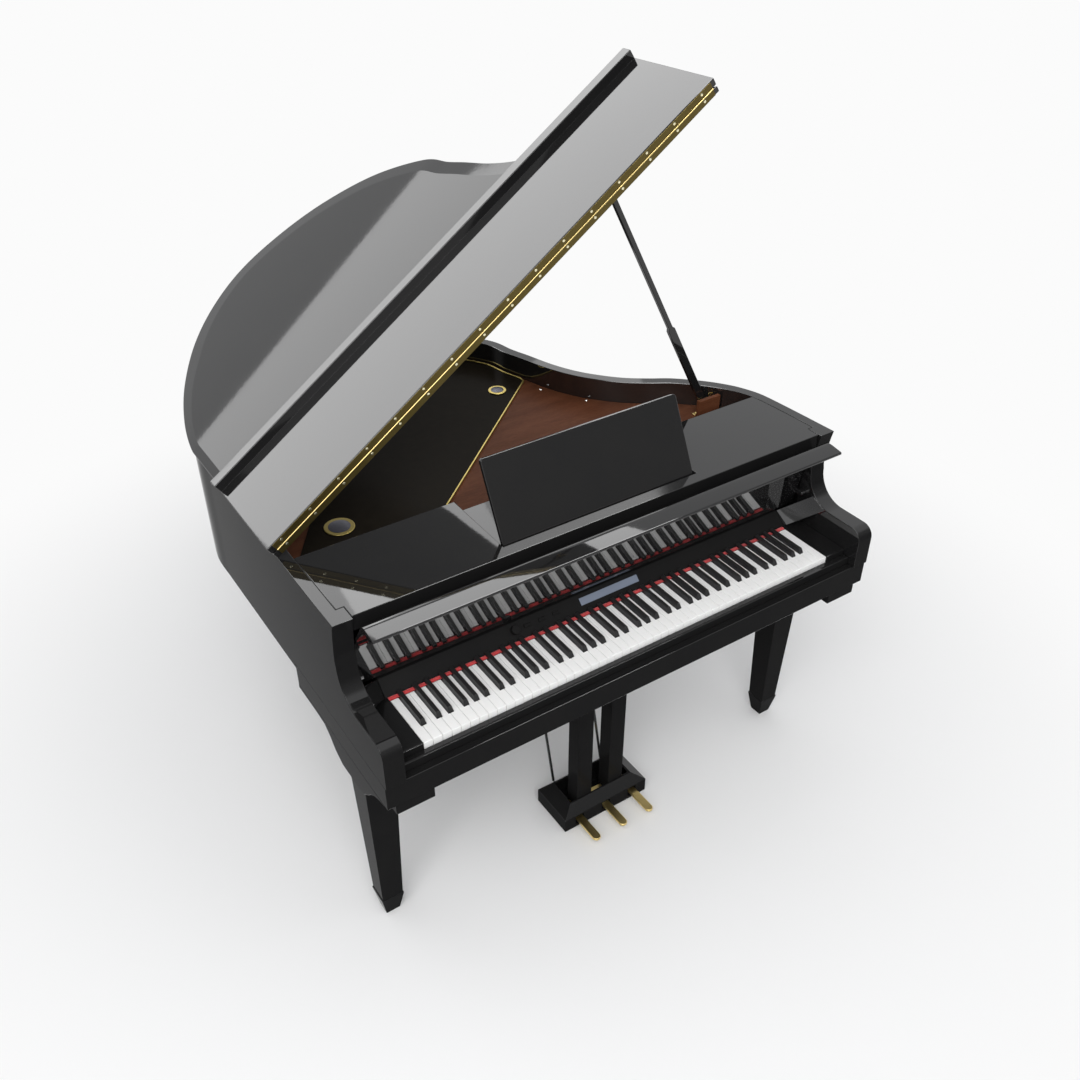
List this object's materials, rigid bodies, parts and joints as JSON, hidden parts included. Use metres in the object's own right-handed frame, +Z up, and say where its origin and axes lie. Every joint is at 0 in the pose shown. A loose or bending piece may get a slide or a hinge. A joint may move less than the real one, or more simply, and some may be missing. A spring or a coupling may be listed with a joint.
{
  "type": "digital grand piano",
  "caption": "Compact digital grand piano in gloss black with raised lid on a prop, folded front lid, keyboard, music desk, pedal lyre and tapered legs.",
  "frame": {"origin": "on the floor under the middle of the bounding box", "axes": "+Z up, -Y towards the player, +X towards the treble side"},
  "size_m": [1.495, 1.4968, 1.9099],
  "materials": {
    "black_gloss": "polished black polyester lacquer on wood",
    "black_satin": "satin black lacquer",
    "black_plastic": "fine matt black moulded plastic",
    "ivory_plastic": "smooth off-white key plastic",
    "red_felt": "dense red wool felt",
    "brass": "polished brass",
    "display_glass": "pale blue-grey display behind glass",
    "reddish_wood": "reddish-brown lacquered wood",
    "circuit_board": "green circuit board"
  },
  "bodies": {
    "case": {"outer_rim": "black_gloss", "left_arm": "black_gloss", "right_arm": "black_gloss", "keybed": "black_gloss", "left_side_skirt": "black_gloss", "right_side_skirt": "black_gloss", "left_front_block": "black_gloss", "right_front_block": "black_gloss", "key_slip": "black_gloss", "left_cheek_block": "black_gloss", "right_cheek_block": "black_gloss", "left_end_block": "black_gloss", "right_end_block": "black_gloss", "music_shelf": "black_gloss", "left_leg": "black_gloss", "right_leg": "black_gloss", "rear_leg": "black_gloss", "lyre_box": "black_gloss", "left_lyre_post": "black_gloss", "right_lyre_post": "black_gloss", "left_lyre_rod": "black_gloss", "right_lyre_rod": "black_gloss", "bottom_board": "black_satin", "key_pivot_rail": "black_satin", "control_panel": "black_satin", "speaker_panel": "black_satin", "speaker_trim": "brass", "front_speaker": "brass", "rear_speaker": "brass", "prop_bracket": "brass", "key_felt": "red_felt", "display_window": "display_glass", "soundboard_deck": "reddish_wood", "prop_board": "reddish_wood", "circuit_board": "circuit_board"},
    "main_lid": {"main_lid": "black_gloss", "lid_hinge_leaf": "brass", "prop_cup": "brass"},
    "front_lid": {"front_lid": "black_gloss", "front_lid_hinge_leaf": "brass"},
    "lid_prop": {"lid_prop": "black_gloss"},
    "music_desk": {"music_desk": "black_satin"},
    "desk_strut": {"desk_strut": "black_satin"},
    "fallboard": {"fallboard": "black_gloss"},
    "volume_knob": {"volume_knob": "black_plastic"},
    "panel_button_1": {"panel_button_1": "black_plastic"},
    "panel_button_2": {"panel_button_2": "black_plastic"},
    "panel_button_3": {"panel_button_3": "black_plastic"},
    "left_pedal": {"left_pedal": "brass"},
    "middle_pedal": {"middle_pedal": "brass"},
    "right_pedal": {"right_pedal": "brass"},
    "white_key_1": {"white_key_1": "ivory_plastic"},
    "white_key_2": {"white_key_2": "ivory_plastic"},
    "white_key_3": {"white_key_3": "ivory_plastic"},
    "white_key_4": {"white_key_4": "ivory_plastic"},
    "black_key_1": {"black_key_1": "black_plastic"},
    "black_key_2": {"black_key_2": "black_plastic"},
    "black_key_3": {"black_key_3": "black_plastic"},
    "white_keys": {"white_keys": "ivory_plastic"},
    "black_keys": {"black_keys": "black_plastic"}
  },
  "joints": [
    {"name": "lid_hinge", "type": "hinge", "parent": "case", "child": "main_lid", "pos_m": [-0.71245, 0.19563, 1.024], "axis": [0, -1, 0], "range_deg": [0, 45]},
    {"name": "front_lid_hinge", "type": "hinge", "parent": "main_lid", "child": "front_lid", "pos_m": [-0.72345, -0.27837, 1.03974], "axis": [0.8197, 0, 0.5729], "range_deg": [0, 180]},
    {"name": "prop_pivot", "type": "hinge", "parent": "case", "child": "lid_prop", "pos_m": [0.61455, -0.18437, 0.985], "axis": [0, -1, 0], "range_deg": [0, 61.5]},
    {"name": "desk_hinge", "type": "hinge", "parent": "case", "child": "music_desk", "pos_m": [0.01755, -0.51037, 1.0075], "axis": [-1, 0, 0], "range_deg": [0, 64]},
    {"name": "strut_hinge", "type": "hinge", "parent": "music_desk", "child": "desk_strut", "pos_m": [0.01755, -0.44986, 1.1115], "axis": [1, 0, 0], "range_deg": [0, 128]},
    {"name": "fallboard_hinge", "type": "hinge", "parent": "case", "child": "fallboard", "pos_m": [0.01755, -0.53567, 0.834], "axis": [1, 0, 0], "range_deg": [0, 90]},
    {"name": "volume_turn", "type": "hinge", "parent": "case", "child": "volume_knob", "pos_m": [-0.24146, -0.51611, 0.76142], "axis": [0, -0.7007, 0.7134], "range_deg": [-150, 150]},
    {"name": "button_1_press", "type": "slide", "parent": "case", "child": "panel_button_1", "axis": [0, 0.7007, -0.7134], "range_m": [0, 0.0012], "stiffness_N_per_m": 300, "springref_m": -0.002},
    {"name": "button_2_press", "type": "slide", "parent": "case", "child": "panel_button_2", "axis": [0, 0.7007, -0.7134], "range_m": [0, 0.0012], "stiffness_N_per_m": 300, "springref_m": -0.002},
    {"name": "button_3_press", "type": "slide", "parent": "case", "child": "panel_button_3", "axis": [0, 0.7007, -0.7134], "range_m": [0, 0.0012], "stiffness_N_per_m": 300, "springref_m": -0.002},
    {"name": "left_pedal_press", "type": "hinge", "parent": "case", "child": "left_pedal", "pos_m": [-0.07495, -0.51937, 0.034], "axis": [1, 0, 0], "range_deg": [0, 6], "stiffness_Nm_per_rad": 4, "springref_deg": -6.88},
    {"name": "middle_pedal_press", "type": "hinge", "parent": "case", "child": "middle_pedal", "pos_m": [0.01755, -0.51937, 0.034], "axis": [1, 0, 0], "range_deg": [0, 6], "stiffness_Nm_per_rad": 4, "springref_deg": -6.88},
    {"name": "right_pedal_press", "type": "hinge", "parent": "case", "child": "right_pedal", "pos_m": [0.11005, -0.51937, 0.034], "axis": [1, 0, 0], "range_deg": [0, 6], "stiffness_Nm_per_rad": 4, "springref_deg": -6.88},
    {"name": "white_key_1_press", "type": "hinge", "parent": "case", "child": "white_key_1", "pos_m": [0.01755, -0.46837, 0.7139], "axis": [1, 0, 0], "range_deg": [0, 2.43], "stiffness_Nm_per_rad": 1.5, "springref_deg": -9.74},
    {"name": "white_key_2_press", "type": "hinge", "parent": "case", "child": "white_key_2", "pos_m": [0.01755, -0.46837, 0.7139], "axis": [1, 0, 0], "range_deg": [0, 2.43], "stiffness_Nm_per_rad": 1.5, "springref_deg": -9.74},
    {"name": "white_key_3_press", "type": "hinge", "parent": "case", "child": "white_key_3", "pos_m": [0.01755, -0.46837, 0.7139], "axis": [1, 0, 0], "range_deg": [0, 2.43], "stiffness_Nm_per_rad": 1.5, "springref_deg": -9.74},
    {"name": "white_key_4_press", "type": "hinge", "parent": "case", "child": "white_key_4", "pos_m": [0.01755, -0.46837, 0.7139], "axis": [1, 0, 0], "range_deg": [0, 2.43], "stiffness_Nm_per_rad": 1.5, "springref_deg": -9.74},
    {"name": "black_key_1_press", "type": "hinge", "parent": "case", "child": "black_key_1", "pos_m": [0.01755, -0.46837, 0.7139], "axis": [1, 0, 0], "range_deg": [0, 2.43], "stiffness_Nm_per_rad": 1, "springref_deg": -8.59},
    {"name": "black_key_2_press", "type": "hinge", "parent": "case", "child": "black_key_2", "pos_m": [0.01755, -0.46837, 0.7139], "axis": [1, 0, 0], "range_deg": [0, 2.43], "stiffness_Nm_per_rad": 1, "springref_deg": -8.59},
    {"name": "black_key_3_press", "type": "hinge", "parent": "case", "child": "black_key_3", "pos_m": [0.01755, -0.46837, 0.7139], "axis": [1, 0, 0], "range_deg": [0, 2.43], "stiffness_Nm_per_rad": 1, "springref_deg": -8.59},
    {"name": "white_keys_press", "type": "hinge", "parent": "case", "child": "white_keys", "pos_m": [0.01755, -0.46837, 0.7139], "axis": [1, 0, 0], "range_deg": [0, 2.43], "stiffness_Nm_per_rad": 72, "springref_deg": -9.74},
    {"name": "black_keys_press", "type": "hinge", "parent": "case", "child": "black_keys", "pos_m": [0.01755, -0.46837, 0.7139], "axis": [1, 0, 0], "range_deg": [0, 2.43], "stiffness_Nm_per_rad": 33, "springref_deg": -8.59}
  ],
  "couplings": [
    {"joint": "strut_hinge", "follows": "desk_hinge", "ratio": 2}
  ]
}
